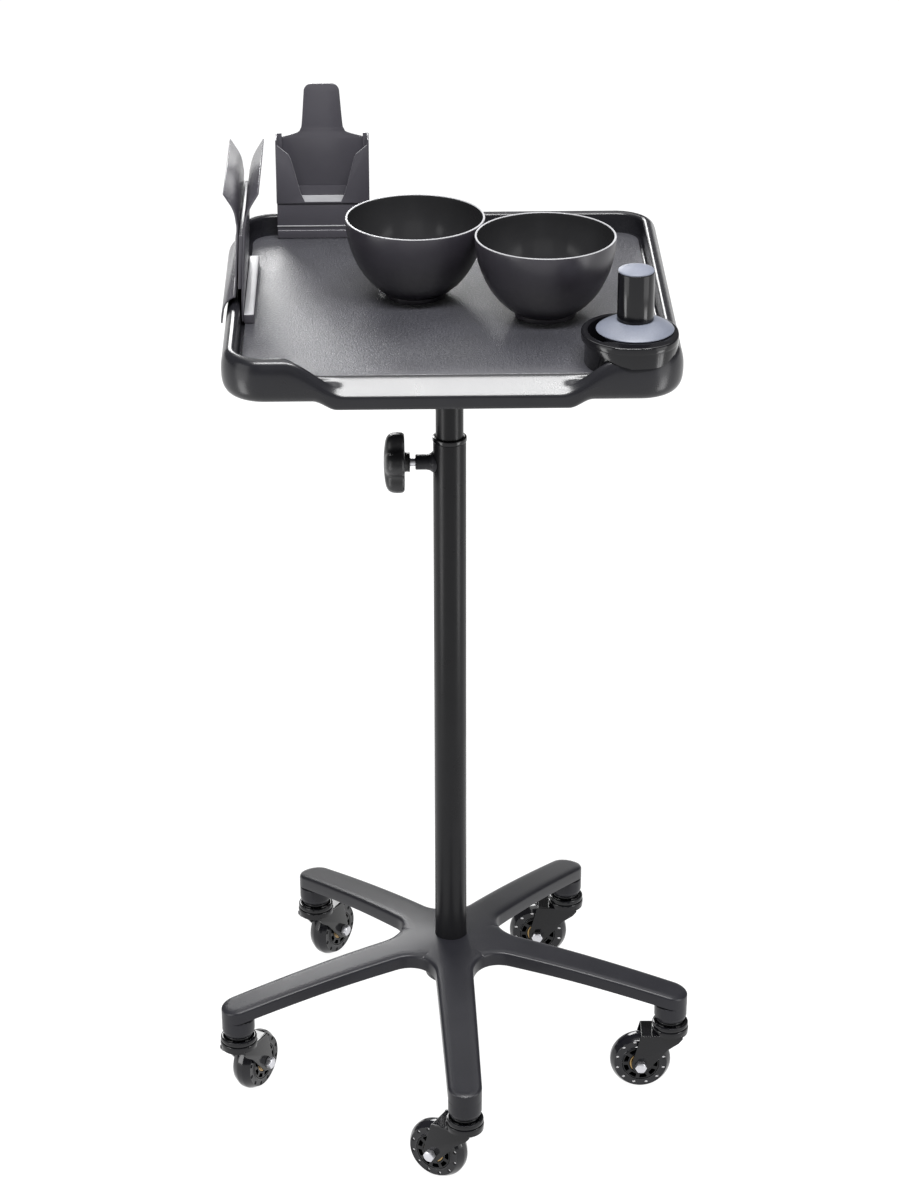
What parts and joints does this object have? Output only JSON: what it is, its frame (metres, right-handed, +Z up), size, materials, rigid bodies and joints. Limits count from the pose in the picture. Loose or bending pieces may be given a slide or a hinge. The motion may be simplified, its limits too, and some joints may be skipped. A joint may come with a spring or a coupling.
{
  "type": "rolling salon trolley",
  "caption": "Height-adjustable salon trolley: moulded tray on a telescopic column over a star base with casters, carrying tint bowls, rim holders and a corner pot.",
  "frame": {"origin": "on the floor under the middle of the footprint", "axes": "+Z up along the column, the lowered front lip of the tray towards -Y, the pot's corner towards +X"},
  "size_m": [0.478, 0.485, 0.9838],
  "materials": {
    "powder_coat": "satin black powder coat",
    "satin_plastic": "satin black moulded plastic",
    "gloss_plastic": "gloss black nylon",
    "knob_plastic": "satin black",
    "sheet_plastic": "bent black sheet, satin gloss",
    "bowl_plastic": "black, satin outside and glossier inside",
    "grained_mat": "black, leather-like grain",
    "slate_rubber": "slate blue-grey, satin",
    "smoky_rubber": "smoky translucent, glossy",
    "nylon": "natural white",
    "zinc": "bright zinc",
    "brass": "yellow passivated"
  },
  "bodies": {
    "base": {"base_star": "powder_coat", "foot_washer": "zinc", "foot_bolt": "zinc", "column_tube": "powder_coat", "guide_bush": "gloss_plastic", "clamp_boss": "powder_coat", "caster_1_stem": "gloss_plastic", "caster_2_stem": "gloss_plastic", "caster_3_stem": "gloss_plastic", "caster_4_stem": "gloss_plastic", "caster_5_stem": "gloss_plastic"},
    "clamp_pad": {"clamp_pad": "nylon"},
    "clamp_knob": {"clamp_stud": "zinc", "clamp_knob": "knob_plastic"},
    "mast": {"mast_plug": "nylon"},
    "tray": {"inner_tube": "powder_coat", "tray_bracket": "powder_coat", "bracket_screw_1": "zinc", "bracket_screw_2": "zinc", "bracket_screw_3": "zinc", "bracket_screw_4": "zinc", "tray_body": "satin_plastic", "tray_mat": "grained_mat", "corner_cup": "gloss_plastic"},
    "bowl_left": {"bowl_left": "bowl_plastic"},
    "bowl_right": {"bowl_right": "bowl_plastic"},
    "side_holder": {"side_holder_outer_plate": "sheet_plastic", "side_holder_inner_plate": "sheet_plastic", "side_holder_core": "sheet_plastic"},
    "rear_holder": {"rear_holder_back": "sheet_plastic", "rear_holder_pocket": "sheet_plastic", "rear_holder_foot": "sheet_plastic"},
    "pot_lid": {"corner_pot_dome": "slate_rubber", "corner_pot_post": "gloss_plastic", "corner_pot_cap": "slate_rubber"},
    "caster_1": {"caster_1_fork": "gloss_plastic", "wheel_1_axle": "zinc"},
    "wheel_1": {"wheel_1_tyre": "smoky_rubber", "wheel_1_core": "gloss_plastic", "wheel_1_bearings": "brass"},
    "caster_2": {"caster_2_fork": "gloss_plastic", "wheel_2_axle": "zinc"},
    "wheel_2": {"wheel_2_tyre": "smoky_rubber", "wheel_2_core": "gloss_plastic", "wheel_2_bearings": "brass"},
    "caster_3": {"caster_3_fork": "gloss_plastic", "wheel_3_axle": "zinc"},
    "wheel_3": {"wheel_3_tyre": "smoky_rubber", "wheel_3_core": "gloss_plastic", "wheel_3_bearings": "brass"},
    "caster_4": {"caster_4_fork": "gloss_plastic", "wheel_4_axle": "zinc"},
    "wheel_4": {"wheel_4_tyre": "smoky_rubber", "wheel_4_core": "gloss_plastic", "wheel_4_bearings": "brass"},
    "caster_5": {"caster_5_fork": "gloss_plastic", "wheel_5_axle": "zinc"},
    "wheel_5": {"wheel_5_tyre": "smoky_rubber", "wheel_5_core": "gloss_plastic", "wheel_5_bearings": "brass"}
  },
  "joints": [
    {"name": "clamp_pad_slide", "type": "slide", "parent": "base", "child": "clamp_pad", "axis": [-1, 0, 0], "range_m": [0, 0.0025]},
    {"name": "clamp_knob_turn", "type": "hinge", "parent": "clamp_pad", "child": "clamp_knob", "pos_m": [-0.051, 0.011, 0.672], "axis": [-1, 0, 0], "range_deg": [0, 720]},
    {"name": "mast_height", "type": "slide", "parent": "base", "child": "mast", "axis": [0, 0, 1], "range_m": [-0.08, 0.22]},
    {"name": "tray_turn", "type": "hinge", "parent": "mast", "child": "tray", "pos_m": [-0.001, 0.011, 0.75], "axis": [0, 0, 1], "continuous": true},
    {"name": "bowl_left_lift", "type": "slide", "parent": "tray", "child": "bowl_left", "axis": [0, 0, 1], "range_m": [0, 0.12]},
    {"name": "bowl_right_lift", "type": "slide", "parent": "tray", "child": "bowl_right", "axis": [0, 0, 1], "range_m": [0, 0.12]},
    {"name": "side_holder_lift", "type": "slide", "parent": "tray", "child": "side_holder", "axis": [0, 0, 1], "range_m": [0, 0.08]},
    {"name": "rear_holder_lift", "type": "slide", "parent": "tray", "child": "rear_holder", "axis": [0, 0, 1], "range_m": [0, 0.08]},
    {"name": "pot_lid_lift", "type": "slide", "parent": "tray", "child": "pot_lid", "axis": [0, 0, 1], "range_m": [0, 0.08]},
    {"name": "caster_1_swivel", "type": "hinge", "parent": "base", "child": "caster_1", "pos_m": [0.00812, -0.22012, 0.07], "axis": [0, 0, 1], "continuous": true},
    {"name": "wheel_1_spin", "type": "hinge", "parent": "caster_1", "child": "wheel_1", "pos_m": [-0.01734, -0.20482, 0.031], "axis": [-0.515, -0.8572, 0], "continuous": true},
    {"name": "caster_2_swivel", "type": "hinge", "parent": "base", "child": "caster_2", "pos_m": [0.22163, -0.05174, 0.07], "axis": [0, 0, 1], "continuous": true},
    {"name": "wheel_2_spin", "type": "hinge", "parent": "caster_2", "child": "wheel_2", "pos_m": [0.19193, -0.05123, 0.031], "axis": [-0.0175, -0.9998, 0], "continuous": true},
    {"name": "caster_3_swivel", "type": "hinge", "parent": "base", "child": "caster_3", "pos_m": [0.12747, 0.20334, 0.07], "axis": [0, 0, 1], "continuous": true},
    {"name": "wheel_3_spin", "type": "hinge", "parent": "caster_3", "child": "wheel_3", "pos_m": [0.09788, 0.20593, 0.031], "axis": [-0.0872, -0.9962, 0], "continuous": true},
    {"name": "caster_4_swivel", "type": "hinge", "parent": "base", "child": "caster_4", "pos_m": [-0.14423, 0.19262, 0.07], "axis": [0, 0, 1], "continuous": true},
    {"name": "wheel_4_spin", "type": "hinge", "parent": "caster_4", "child": "wheel_4", "pos_m": [-0.12762, 0.21724, 0.031], "axis": [-0.829, 0.5592, 0], "continuous": true},
    {"name": "caster_5_swivel", "type": "hinge", "parent": "base", "child": "caster_5", "pos_m": [-0.21799, -0.0691, 0.07], "axis": [0, 0, 1], "continuous": true},
    {"name": "wheel_5_spin", "type": "hinge", "parent": "caster_5", "child": "wheel_5", "pos_m": [-0.20314, -0.04337, 0.031], "axis": [-0.866, 0.5, 0], "continuous": true}
  ],
  "couplings": [
    {"joint": "clamp_pad_slide", "follows": "clamp_knob_turn", "m_per_rad": 0.00019894}
  ]
}
